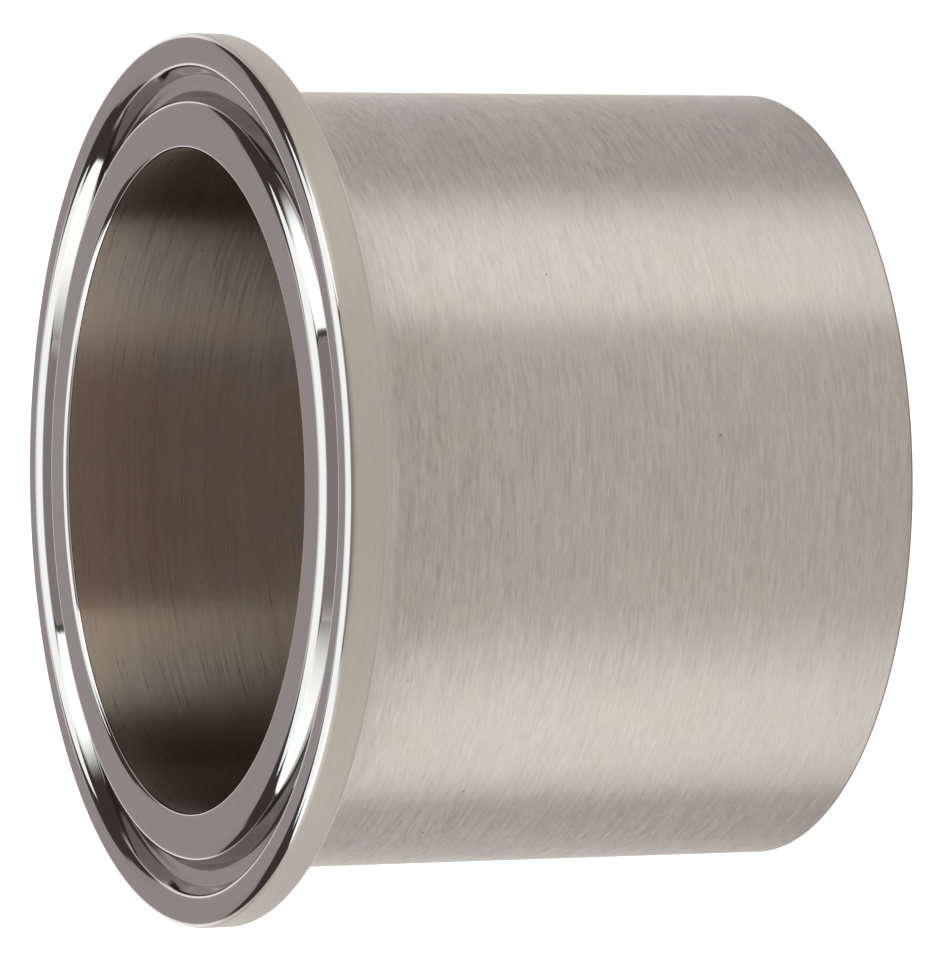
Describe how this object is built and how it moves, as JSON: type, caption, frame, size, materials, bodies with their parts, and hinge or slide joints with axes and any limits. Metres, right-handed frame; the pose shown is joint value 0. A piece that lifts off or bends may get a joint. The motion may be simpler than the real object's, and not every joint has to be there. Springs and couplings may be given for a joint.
{
  "type": "sanitary clamp ferrule",
  "caption": "Turned stainless ferrule: a short weld tube with a clamp flange, a polished face with a round gasket groove, and a straight through bore.",
  "frame": {"origin": "centre of the plain weld end, which the ferrule stands on", "axes": "+Z along the axis, from the weld end to the clamp face; X and Y are any two radial directions"},
  "size_m": [0.064, 0.0638, 0.0446],
  "materials": {
    "stainless_steel": "brushed round the tube, rim and bore, and polished on the clamp face"
  },
  "bodies": {
    "root": {"clamp_ferrule": "stainless_steel"}
  },
  "joints": []
}
